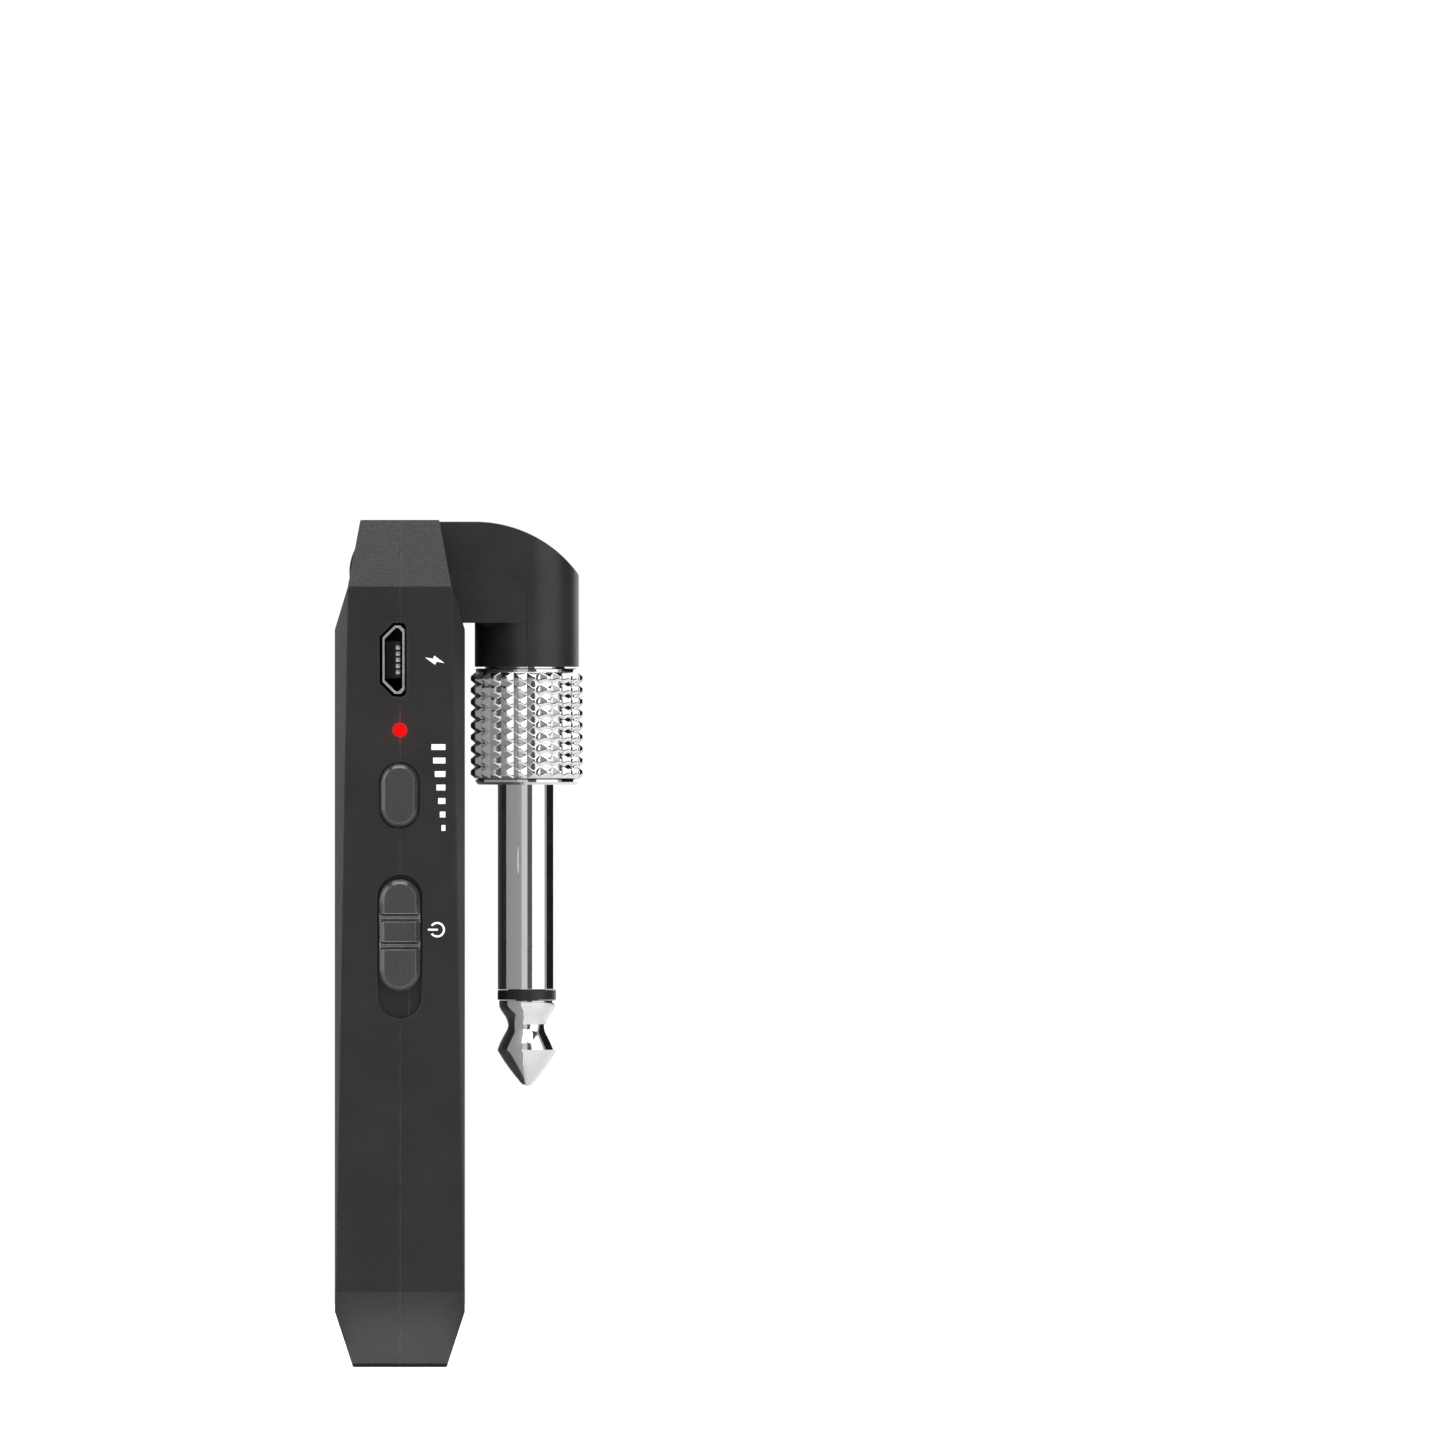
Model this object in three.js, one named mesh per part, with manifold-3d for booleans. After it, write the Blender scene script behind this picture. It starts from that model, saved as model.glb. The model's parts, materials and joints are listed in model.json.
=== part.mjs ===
// A wireless guitar transmitter: a slim two-shell case with a charging socket, a status light, a channel
// button and a power slider on its narrow side, and a 6.35 mm plug on an arm that swivels out of the top.
// Millimetres. +Z runs up the case, +X is the side where the plug folds away, and the controls face -Y.
// The origin is the centre of the case's bottom end, and the rest pose has the plug folded.
import * as THREE from "three";
import { ConvexGeometry } from "three/addons/geometries/ConvexGeometry.js";
import { mergeVertices } from "three/addons/utils/BufferGeometryUtils.js";
import Module from "manifold-3d";

const wasm = await Module();
wasm.setup();

// ---- Driving dimensions ----

// Each level of the case is [half-thickness in X, half-depth in Y, height].
const TOP_END = [4.25, 13, 91.2];
const SHOULDER = [5.6, 17, 84];
const BROAD_TOP = [7.0, 14, 79.4];
const SIDE_FOOT = [6.9, 17, 8.2];
const CORNER_FOOT = [7.0, 16.78, 7.9];
const BROAD_FOOT = [7.0, 15.39, 6];
const BOTTOM_END = [5.05, 11, 0];
const WALL = 1.6;
const SEAM = 0.02; // half the gap between the two shells
const LIP = { depth: 0.75, reach: 1.0, gap: 0.03 }; // the left shell's lip, which crosses behind the seam
const SIDE_Y = -SHOULDER[1]; // the face that holds the controls
const SIDE_INNER_Y = SIDE_Y + WALL;

const HINGE_Z = 85.6;
const ARM_HALF = 5.45; // half the arm's width, which is also its hub's radius
const ARM_DEPTH = 5.62; // half the arm's thickness in Y, which is also its barrel's radius
const ARM_GAP = 0.3; // running gap between the arm and the slot
const PLUG_X = 13.7; // from the hinge's axis to the plug's axis
const BARREL_END = -10.2; // the barrel's mouth, from the hinge's axis
const CORNER_X = 8.1; // where the arm's rounded back starts
const CORNER_R = 13.85;
const SPLIT_X = 10.9; // where the arm's parting line turns down towards the plug
const ARM_SEAM = 0.02; // half the gap between the arm's mouldings
const ARM_LAP = { from: 3.6, halfDepth: 4.3, drop: 0.6, gap: 0.03 };
const SWING = THREE.MathUtils.degToRad(190);
const SLOT_Y = ARM_DEPTH + ARM_GAP;
const SLOT_WALL = 1.5;
const SLOT_FLOOR = HINGE_Z - ARM_HALF - ARM_GAP;

const AXLE_R = 2.5;
const AXLE_BORE = 1.4;
const AXLE_END = 9;
const BUSH_R = 3.3;
const CLIP_Y = 8.2;

const SOCKET = { x: -0.69, z: 76.15, wide: 2.42, tall: 7.37, gap: 0.28 };
const LIGHT = { z: 68.6, r: 0.7 };
const BUTTON = { x: -0.05, z: 61.56, wide: 4.0, tall: 6.8, gap: 0.18, proud: 0.5 };
const KNOB = { z: 46.5, wide: 4.4, tall: 12.1, proud: 0.6, travel: 2.7 };
const RECESS = { low: 37.55, high: 53.05, wide: 4.75, deep: 0.8 };
const RIDGES_Z = [48.4, 45.4];

const BOARD = { x: 0.6, thick: 1.0, front: -13.9, back: 14.6, low: 15.4, high: 75.9 };
const CASE_SCREWS = [
  { y: -12.6, z: 12 },
  { y: 12.6, z: 12 },
  { y: -12.6, z: 54.5 },
  { y: 12.6, z: 70 },
];
const BOSS_R = 2.3;
const PEG = { y: 12.8, z: 86.8, r: 0.8 };
const ARM_SCREW = { x: 5.6, y: 3.6 };

// The plug's levels are heights below the barrel's mouth.
const SLEEVE_R = 3.15;
const BASE_R = 4.5;
const NECK_R = 5.5;
const STUDS = { columns: 24, rows: 9, pitch: 1.272, base: 5.6, tip: 6.12, from: -12.04 };
const COLLAR_END = -12.7;
const SLEEVE_END = -34.8;
const TIP_TOP = -35.98;
const TIP_END = -45.2;
const WIRE_R = 0.35;

// ---- Materials ----

function finish(color, roughness, metalness = 0) {
  return new THREE.MeshStandardMaterial({ color, roughness, metalness });
}

const FINISH = {
  caseBlack: finish(0x303031, 0.62),
  armBlack: finish(0x2c2c2d, 0.42),
  controlBlack: finish(0x3a3a3b, 0.55),
  insulator: finish(0x141414, 0.45),
  chrome: finish(0xd8d8da, 0.08, 1),
  steel: finish(0xa8a9ad, 0.32, 1),
  brass: finish(0xb4904c, 0.3, 1),
  redLens: finish(0xff2018, 0.25),
  board: finish(0x0f4a2c, 0.5),
  chip: finish(0x1b1b1d, 0.5),
  ceramic: finish(0xd9d6cc, 0.6),
  foil: finish(0xb9bbbe, 0.4, 0.6),
  foam: finish(0x3d3d40, 0.95),
  redWire: finish(0xa3161b, 0.5),
  blackWire: finish(0x161617, 0.5),
};

// ---- Solids ----

function solid(geometry) {
  const bare = new THREE.BufferGeometry();
  bare.setAttribute("position", geometry.getAttribute("position"));
  bare.setIndex(geometry.index);
  const merged = mergeVertices(bare, 1e-3);
  return new wasm.Manifold(
    new wasm.Mesh({
      numProp: 3,
      vertProperties: merged.attributes.position.array,
      triVerts: new Uint32Array(merged.index.array),
    }),
  );
}

function piece(name, shape, material) {
  const { vertProperties, triVerts } = shape.getMesh();
  const indexed = new THREE.BufferGeometry();
  indexed.setAttribute("position", new THREE.BufferAttribute(new Float32Array(vertProperties), 3));
  indexed.setIndex(new THREE.BufferAttribute(new Uint32Array(triVerts), 1));
  const geometry = indexed.toNonIndexed();
  geometry.computeVertexNormals();
  const mesh = new THREE.Mesh(geometry, material);
  mesh.name = name;
  return mesh;
}

function join(...shapes) {
  return shapes.reduce((whole, shape) => whole.add(shape));
}

function box([x0, x1], [y0, y1], [z0, z1]) {
  const geometry = new THREE.BoxGeometry(x1 - x0, y1 - y0, z1 - z0);
  return solid(geometry.translate((x0 + x1) / 2, (y0 + y1) / 2, (z0 + z1) / 2));
}

const X = new THREE.Vector3(1, 0, 0);
const Y = new THREE.Vector3(0, 1, 0);
const Z = new THREE.Vector3(0, 0, 1);
const AWAY = new THREE.Vector3(0, -1, 0);

// A flat shape extruded along an axis. Its own axes are Y and Z for axis x, X and Z for y, and X and Y for z.
const EXTRUDE_BASIS = {
  x: new THREE.Matrix4().makeBasis(Y, Z, X),
  y: new THREE.Matrix4().makeBasis(X, Z, AWAY),
  z: new THREE.Matrix4(),
};

function extrude(shape, axis, from, to, curveSegments = 8) {
  const settings = { depth: to - from, bevelEnabled: false, curveSegments };
  const geometry = new THREE.ExtrudeGeometry(shape, settings).applyMatrix4(EXTRUDE_BASIS[axis]);
  const start = { x: [from, 0, 0], y: [0, to, 0], z: [0, 0, from] }[axis];
  return solid(geometry.translate(...start));
}

// A profile of [radius, place along the axis] turned round an axis, counter-clockwise to face outwards.
function turn(profile, axis, segments = 32) {
  const points = profile.map(([r, s]) => new THREE.Vector2(r, s));
  const geometry = new THREE.LatheGeometry(points, segments);
  if (axis === "z") geometry.rotateX(Math.PI / 2);
  if (axis === "x") geometry.rotateZ(-Math.PI / 2);
  return solid(geometry);
}

function rod(radius, axis, from, to, segments = 20) {
  return turn([[0, from], [radius, from], [radius, to], [0, to]], axis, segments);
}

function tube(outer, inner, axis, from, to, segments = 20) {
  return turn([[inner, from], [outer, from], [outer, to], [inner, to], [inner, from]], axis, segments);
}

// The convex solid round levels of [half X, half Y, Z], the same on both sides of X and of Y.
function block(levels) {
  const corners = levels.flatMap(([x, y, z]) => [[x, y, z], [-x, y, z], [x, -y, z], [-x, -y, z]]);
  return solid(new ConvexGeometry(corners.map((corner) => new THREE.Vector3(...corner))));
}

// An upright slot shape with round ends, in X and Z.
function stadium(x, z, wide, tall) {
  const r = wide / 2;
  const shape = new THREE.Shape();
  shape.absarc(x, z + tall / 2 - r, r, 0, Math.PI);
  shape.absarc(x, z - tall / 2 + r, r, Math.PI, 2 * Math.PI);
  return shape.closePath();
}

function polygon(points) {
  return new THREE.Shape(points.map(([a, b]) => new THREE.Vector2(a, b)));
}

function rectangle([a0, a1], [b0, b1]) {
  return polygon([[a0, b0], [a1, b0], [a1, b1], [a0, b1]]);
}

// A slot-shaped key top whose edge is chamfered by as much as it is inset.
function chamferedKey(key, back, chamfer) {
  const top = SIDE_Y - key.proud;
  const layers = [
    [back, 0],
    [top + chamfer, 0],
    [top, chamfer],
  ];
  const points = layers.flatMap(([y, inset]) =>
    stadium(key.x ?? 0, key.z, key.wide - 2 * inset, key.tall - 2 * inset)
      .getPoints(14)
      .map((p) => new THREE.Vector3(p.x, y, p.y)),
  );
  return solid(new ConvexGeometry(points));
}

// A round wire through points, with flat ends.
function wire(points, radius = WIRE_R) {
  const path = new THREE.CatmullRomCurve3(points.map((p) => new THREE.Vector3(...p)));
  const section = new THREE.Shape().absarc(0, 0, radius, 0, 2 * Math.PI);
  const settings = { steps: 8, curveSegments: 6, bevelEnabled: false, extrudePath: path };
  return solid(new THREE.ExtrudeGeometry(section, settings));
}

// A pan-head screw with a cross recess. Its head sits on seat and its shank runs back along the axis.
function screw(axis, seat, head, shank) {
  const profile = [
    [0, seat - shank.length],
    [shank.r * 0.5, seat - shank.length],
    [shank.r, seat - shank.length + shank.r],
    [shank.r, seat],
    [head.r, seat],
    [head.r, seat + head.thick * 0.6],
    [head.r * 0.75, seat + head.thick],
    [0, seat + head.thick],
  ];
  const blade = [-head.r * 0.62, head.r * 0.62];
  const slit = [-head.r * 0.15, head.r * 0.15];
  const depth = [seat + head.thick * 0.45, seat + head.thick + 1];
  const cross = [rectangle(blade, slit), rectangle(slit, blade)].map((s) => extrude(s, axis, ...depth));
  return turn(profile, axis, 16).subtract(join(...cross));
}

// ---- Case ----

function caseBlock(inset, endInset = inset) {
  const shrink = ([x, y, z]) => [x - inset, y - inset, z];
  const end = ([x, y, z], dz) => [x - inset, y - inset, z + dz];
  const walls = [BROAD_FOOT, CORNER_FOOT, SIDE_FOOT, BROAD_TOP, SHOULDER].map(shrink);
  const lower = [end(BOTTOM_END, endInset), ...walls];
  const head = [shrink(SHOULDER), end(TOP_END, -endInset)];
  return block(lower).add(block(head));
}

// The slot that the arm swings in: level on the folded side, and sloped on the other by the swing past
// half a turn.
function slotBlock(lower, halfDepth) {
  const reach = 9;
  const slope = Math.tan(SWING - Math.PI);
  const floor = SLOT_FLOOR - lower;
  const shape = polygon([
    [reach, floor],
    [0.5, floor],
    [-reach, floor - (reach + 0.5) * slope],
    [-reach, HINGE_Z + 9],
    [reach, HINGE_Z + 9],
  ]);
  return extrude(shape, "y", -halfDepth, halfDepth);
}

// The socket's outline in X and Z: square on +X, with its corners cut on -X.
function socketShape(grow) {
  const high = SOCKET.tall / 2 + grow;
  const wide = SOCKET.wide / 2 + grow;
  const cut = 1.33 + grow * 0.4;
  const nick = 0.45;
  const outline = [
    [wide, high - nick],
    [wide - nick, high],
    [-wide + cut, high],
    [-wide, high - cut],
    [-wide, -high + cut],
    [-wide + cut, -high],
    [wide - nick, -high],
    [wide, -high + nick],
  ];
  return polygon(outline.map(([x, z]) => [SOCKET.x + x, SOCKET.z + z]));
}

function controlOpenings() {
  const through = [SIDE_Y - 1, SIDE_INNER_Y + 1];
  const recess = stadium(0, (RECESS.low + RECESS.high) / 2, RECESS.wide, RECESS.high - RECESS.low);
  const button = stadium(BUTTON.x, BUTTON.z, BUTTON.wide + 2 * BUTTON.gap, BUTTON.tall + 2 * BUTTON.gap);
  const stemSlot = rectangle([-1.3, 1.3], [KNOB.z - 2.3 - KNOB.travel, KNOB.z + 2.3]);
  const light = rod(LIGHT.r + 0.05, "y", ...through, 24).translate([0, 0, LIGHT.z]);
  return join(
    extrude(socketShape(SOCKET.gap), "y", ...through),
    extrude(button, "y", ...through, 14),
    extrude(recess, "y", SIDE_Y - 1, SIDE_Y + RECESS.deep, 14),
    extrude(stemSlot, "y", ...through),
    light,
  );
}

// Where a case screw's head sits, which is a little under the broad face.
const SCREW_SEAT = 5.3;

function screwHoles() {
  const holes = CASE_SCREWS.map(({ y, z }) =>
    join(rod(1.1, "x", -4.8, 9, 20), rod(2.1, "x", SCREW_SEAT - 0.05, 9, 28)).translate([0, y, z]),
  );
  return join(...holes);
}

function bosses() {
  const posts = CASE_SCREWS.map(({ y, z }) => rod(BOSS_R, "x", -6, 6, 28).translate([0, y, z]));
  return join(...posts);
}

function hollowCase() {
  const inside = caseBlock(WALL).subtract(slotBlock(WALL, SLOT_Y + SLOT_WALL));
  const bushBore = rod(BUSH_R + 0.05, "y", -SLOT_Y - 2, SLOT_Y + 2).translate([0, 0, HINGE_Z]);
  return caseBlock(0)
    .subtract(inside)
    .subtract(slotBlock(0, SLOT_Y))
    .add(bosses())
    .subtract(join(bushBore, controlOpenings(), screwHoles()));
}

// Pegs on the left shell's cheeks locate in sockets on the right shell.
function pegs(radius, from, to) {
  const pair = [-PEG.y, PEG.y].map((y) => rod(radius, "x", from, to, 20).translate([0, y, PEG.z]));
  return join(...pair);
}

// The wall between two planes across X, from a depth below the outer faces, and all of it at the two ends.
function innerWall(depth, from, to) {
  const ring = caseBlock(depth, -0.1).subtract(caseBlock(WALL + 0.3));
  return ring.intersect(box([from, to], [-20, 20], [-1, HINGE_Z + 9]));
}

// The seam is a half lap: the left shell's lip crosses behind it, so no light passes through.
function shells() {
  const whole = hollowCase();
  const span = [[-20, 20], [-1, HINGE_Z + 9]];
  const lip = whole.intersect(innerWall(LIP.depth + LIP.gap, -0.5, LIP.reach - SEAM));
  const left = whole.intersect(box([-9, -SEAM], ...span)).add(join(lip, pegs(PEG.r, -4, 1.6)));
  const rebate = innerWall(LIP.depth, -0.5, LIP.reach + SEAM);
  const right = whole
    .intersect(box([SEAM, 9], ...span))
    .add(pegs(1.6, 1.1, 4))
    .subtract(join(rebate, pegs(PEG.r + 0.15, -1, 2)));
  return [
    piece("left_shell", left, FINISH.caseBlack),
    piece("right_shell", right, FINISH.caseBlack),
  ];
}

function caseScrews() {
  const shape = screw("x", SCREW_SEAT, { r: 1.9, thick: 1.1 }, { r: 1.0, length: 9.4 });
  return CASE_SCREWS.map(({ y, z }, i) => {
    const mesh = piece(`case_screw_${i + 1}`, shape, FINISH.steel);
    mesh.position.set(0, y, z);
    return mesh;
  });
}

function hingeBushes() {
  return [["front", -1], ["rear", 1]].map(([place, side]) => {
    const mesh = piece(`hinge_bush_${place}`, tube(BUSH_R, AXLE_R + 0.06, "y", -0.7, 0.7), FINISH.brass);
    mesh.position.set(0, side * (SLOT_Y + SLOT_WALL / 2), HINGE_Z);
    return mesh;
  });
}

// ---- Board and what it carries ----

const BOARD_BACK = BOARD.x + BOARD.thick;
const ON_FRONT = BOARD.x - 0.05; // the board's -X face, which carries the socket and the switches
const ON_BACK = BOARD_BACK + 0.05;

function mainBoard() {
  const tabBack = -7.9;
  const tabTop = 81;
  const outline = polygon([
    [BOARD.front, BOARD.low],
    [BOARD.back, BOARD.low],
    [BOARD.back, BOARD.high],
    [tabBack, BOARD.high],
    [tabBack, tabTop],
    [BOARD.front, tabTop],
  ]);
  const bossNotches = CASE_SCREWS.map(({ y, z }) =>
    rod(BOSS_R + 0.4, "x", 0, 3, 24).translate([0, y, z]),
  );
  const switchNotch = box([0, 3], [-15, -10.6], [KNOB.z - 4.6, KNOB.z + 4.6]);
  const board = extrude(outline, "x", BOARD.x, BOARD_BACK).subtract(join(...bossNotches, switchNotch));
  return piece("main_board", board, FINISH.board);
}

function chargingSocket() {
  const shell = extrude(socketShape(0), "y", SIDE_Y + 0.25, -10.9)
    .subtract(extrude(socketShape(-0.25), "y", SIDE_Y, -10));
  const block = box([SOCKET.x - 0.85, SOCKET.x + 0.85], [-12.2, -11.0], [SOCKET.z - 2.0, SOCKET.z + 2.0]);
  const tongueZ = [SOCKET.z - 1.85, SOCKET.z + 1.85];
  const tongue = box([SOCKET.x + 0.15, SOCKET.x + 0.7], [SIDE_Y + 0.9, -12], tongueZ);
  return [
    piece("usb_socket_shell", shell, FINISH.steel),
    piece("usb_contact_tongue", block.add(tongue), FINISH.insulator),
  ];
}

function statusLight() {
  const pipe = turn(
    [
      [0, SIDE_Y - 0.05],
      [LIGHT.r, SIDE_Y - 0.05],
      [LIGHT.r, SIDE_INNER_Y + 0.2],
      [1.1, SIDE_INNER_Y + 0.2],
      [1.1, SIDE_INNER_Y + 0.9],
      [0, SIDE_INNER_Y + 0.9],
    ],
    "y",
    24,
  ).translate([0, 0, LIGHT.z]);
  const led = box([-0.9, ON_FRONT], [-14.3, -13.1], [LIGHT.z - 0.8, LIGHT.z + 0.8]);
  return [
    piece("status_light_pipe", pipe, FINISH.redLens),
    piece("status_led", led, FINISH.ceramic),
  ];
}

const PLUNGER = { x: -0.95, r: 0.6 };

function channelSwitchBody() {
  const half = 2.6;
  const body = box([-2.6, ON_FRONT], [-13.6, -10.6], [BUTTON.z - half, BUTTON.z + half]);
  const bore = rod(PLUNGER.r + 0.1, "y", -14, -12.1, 20).translate([PLUNGER.x, 0, BUTTON.z]);
  return piece("channel_switch_body", body.subtract(bore), FINISH.chip);
}

function powerSwitchBody() {
  const body = box([-1.7, 1.7], [-13.9, -10.9], [KNOB.z - 4.3, KNOB.z + 4.3]);
  const slot = box([-0.65, 0.65], [-15, -12.3], [KNOB.z - KNOB.travel - 0.8, KNOB.z + 0.8]);
  return piece("power_switch_body", body.subtract(slot), FINISH.steel);
}

function chips() {
  return [
    piece("radio_shield_can", box([ON_BACK, 3.9], [-7.5, 6.5], [57, 73]), FINISH.steel),
    piece("audio_codec_chip", box([ON_BACK, 2.55], [-3, 3], [44, 50]), FINISH.chip),
    piece("charge_controller_chip", box([ON_BACK, 2.4], [-12, -9], [63, 66]), FINISH.chip),
    piece("ceramic_antenna", box([ON_BACK, 2.9], [7.4, 13.6], [58, 60.4]), FINISH.ceramic),
  ];
}

function battery() {
  const cell = extrude(rectangle([-5.1, -1.1], [-10, 10]), "z", 6, 46);
  const connector = box([-2.9, ON_FRONT], [3, 8], [48.6, 51.6]);
  const lead = (y) => wire([[-3.1, y, 46.1], [-3.0, y, 46.9], [-1.9, y, 47.7], [-1.7, y, 48.5]], 0.4);
  return [
    piece("battery_cell", cell, FINISH.foil),
    piece("battery_foam_pad", box([-1.0, 0.5], [-8, 8], [17, 44]), FINISH.foam),
    piece("battery_connector", connector, FINISH.ceramic),
    piece("battery_lead_positive", lead(4.4), FINISH.redWire),
    piece("battery_lead_negative", lead(6.6), FINISH.blackWire),
  ];
}

function boardWires() {
  const mouth = AXLE_END + 0.3;
  const signal = [[0, -mouth, HINGE_Z], [-0.2, -10.1, HINGE_Z - 0.8], [-0.5, -10, 82], [0.15, -9.4, 79.4]];
  const ground = [[0, mouth, HINGE_Z], [-0.2, 10.1, HINGE_Z - 0.8], [-0.5, 10.2, 80], [0.15, 10.2, 74.6]];
  return [
    piece("signal_wire", wire(signal), FINISH.redWire),
    piece("ground_wire", wire(ground), FINISH.blackWire),
  ];
}

// ---- Controls that move ----

function channelButton() {
  const key = chamferedKey(BUTTON, SIDE_INNER_Y + 0.3, 0.45);
  const flange = extrude(stadium(BUTTON.x, BUTTON.z, 5.4, 8.2), "y", SIDE_INNER_Y + 0.2, SIDE_INNER_Y + 0.8);
  const pip = rod(0.9, "y", SIDE_INNER_Y + 0.5, -14.45, 20).translate([PLUNGER.x, 0, BUTTON.z]);
  const plunger = rod(PLUNGER.r, "y", -14.35, -12.7, 20).translate([PLUNGER.x, 0, BUTTON.z]);
  return [
    piece("channel_button", join(key, flange, pip), FINISH.controlBlack),
    piece("channel_switch_plunger", plunger, FINISH.ceramic),
  ];
}

function powerSlider() {
  const top = SIDE_Y - KNOB.proud;
  const floor = SIDE_Y + RECESS.deep;
  const grooves = RIDGES_Z.flatMap((z) =>
    [-0.28, 0.28].map((dz) => box([-3, 3], [top - 1, top + 0.5], [z + dz - 0.14, z + dz + 0.14])),
  );
  const ribs = RIDGES_Z.map((z) => box([-2.16, 2.16], [top, top + 0.9], [z - 0.14, z + 0.14]));
  const stem = box([-1.05, 1.05], [floor - 0.5, -14.4], [KNOB.z - 2, KNOB.z + 2]);
  const pocket = box([-0.65, 0.65], [-15.7, -14], [KNOB.z - 0.65, KNOB.z + 0.65]);
  const knob = chamferedKey(KNOB, floor - 0.15, 0.5).subtract(join(...grooves)).add(join(...ribs));
  const lever = box([-0.5, 0.5], [-15.5, -12.5], [KNOB.z - 0.5, KNOB.z + 0.5]);
  return [
    piece("power_slider_knob", knob.add(stem).subtract(pocket), FINISH.controlBlack),
    piece("power_switch_lever", lever, FINISH.ceramic),
  ];
}

// ---- Swivelling arm, drawn about the hinge's axis ----

// Seen along Y: the hub's round end, the straight top, the rounded back and the barrel's outer line.
function armOutline() {
  const outer = PLUG_X + ARM_DEPTH;
  const backEnd = Math.acos((outer - CORNER_X) / CORNER_R);
  const shape = new THREE.Shape();
  shape.moveTo(0, -ARM_HALF);
  shape.absarc(0, 0, ARM_HALF, -Math.PI / 2, Math.PI / 2, true);
  shape.absarc(CORNER_X, ARM_HALF - CORNER_R, CORNER_R, Math.PI / 2, backEnd, true);
  shape.lineTo(outer, -ARM_HALF);
  return shape.closePath();
}

// Seen along Z: straight sides that end in the barrel's half circle.
function armFootprint() {
  const shape = new THREE.Shape();
  shape.absarc(PLUG_X, 0, ARM_DEPTH, -Math.PI / 2, Math.PI / 2);
  shape.lineTo(-ARM_HALF - 1, ARM_DEPTH);
  shape.lineTo(-ARM_HALF - 1, -ARM_DEPTH);
  return shape.closePath();
}

function barrelCircle() {
  const shape = new THREE.Shape();
  shape.absarc(PLUG_X, 0, ARM_DEPTH, -Math.PI / 2, Math.PI / 2);
  shape.absarc(PLUG_X, 0, ARM_DEPTH, Math.PI / 2, (3 * Math.PI) / 2);
  return shape.closePath();
}

function armScrewSpots() {
  return [-1, 1].map((side) => [ARM_SCREW.x, side * ARM_SCREW.y, 0]);
}

function armHollows() {
  const plugBore = join(rod(BASE_R + 0.1, "z", BARREL_END - 1, -4.4, 40), rod(3.6, "z", -5, 0.6, 32));
  const screwHoles = armScrewSpots().map((spot) =>
    join(rod(0.85, "z", -6, 3.4, 16), rod(1.5, "z", -6, -4.25, 24)).translate(spot),
  );
  return join(
    rod(AXLE_R + 0.04, "y", -ARM_DEPTH - 1, ARM_DEPTH + 1),
    box([0, PLUG_X], [-2.2, 2.2], [-2.2, 2.2]),
    plugBore.translate([PLUG_X, 0, 0]),
    ...screwHoles,
  );
}

// All that lies on one side of the arm's parting surface, which runs level from the hub and then turns down
// the plug's axis. Side 1 is the outer side and -1 the inner one, and shift moves the surface outwards.
function armSide(side, shift) {
  const gap = side * ARM_SEAM + shift;
  const turnR = PLUG_X - SPLIT_X;
  const far = side > 0 ? [[30, -12], [30, 9], [-9, 9]] : [[-9, -12]];
  const shape = new THREE.Shape();
  shape.absarc(SPLIT_X, -turnR, turnR + gap, Math.PI / 2, 0, true);
  const corners = [[PLUG_X + gap, -12], ...far, [-9, gap]];
  corners.forEach(([x, z]) => shape.lineTo(x, z));
  return extrude(shape.closePath(), "y", -9, 9, 10);
}

// The outer moulding's tongue, which laps inside the inner one.
function armTongue(gap) {
  const { from, halfDepth, drop } = ARM_LAP;
  const middle = box([from - gap, 30], [-halfDepth - gap, halfDepth + gap], [-12, 9]);
  return armSide(1, -drop - gap).intersect(middle);
}

function armShells() {
  const slab = extrude(armOutline(), "y", -ARM_DEPTH, ARM_DEPTH, 20)
    .intersect(extrude(armFootprint(), "z", BARREL_END, 9, 24));
  const barrel = extrude(barrelCircle(), "z", BARREL_END, -ARM_HALF + 0.5, 24);
  const arm = slab.add(barrel).subtract(armHollows());
  const outer = arm.intersect(armSide(1, 0).add(armTongue(0)));
  const inner = arm.intersect(armSide(-1, 0).subtract(armTongue(ARM_LAP.gap)));
  return [
    piece("arm_outer_shell", outer, FINISH.armBlack),
    piece("arm_inner_shell", inner, FINISH.armBlack),
  ];
}

function armScrews() {
  const shape = screw("z", 0, { r: 1.35, thick: 1.0 }, { r: 0.75, length: 6.8 });
  return armScrewSpots().map(([x, y], i) => {
    const mesh = piece(`arm_screw_${i + 1}`, shape, FINISH.steel);
    mesh.rotation.x = Math.PI; // the heads are on the arm's inner side
    mesh.position.set(x, y, -4.3);
    return mesh;
  });
}

function hingeAxle() {
  const groove = [CLIP_Y - 0.05, CLIP_Y + 0.65];
  const half = [
    [AXLE_R, groove[0]],
    [AXLE_R - 0.3, groove[0]],
    [AXLE_R - 0.3, groove[1]],
    [AXLE_R, groove[1]],
    [AXLE_R, AXLE_END],
  ];
  const mirrored = half.map(([r, s]) => [r, -s]).reverse();
  const bore = [[AXLE_BORE, AXLE_END], [AXLE_BORE, -AXLE_END]];
  const profile = [[AXLE_BORE, -AXLE_END], ...mirrored, ...half, ...bore];
  const window = box([0.2, 4], [-1.9, 1.9], [-1, 1]);
  return piece("hinge_axle", turn(profile, "y", 24).subtract(window), FINISH.steel);
}

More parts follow.
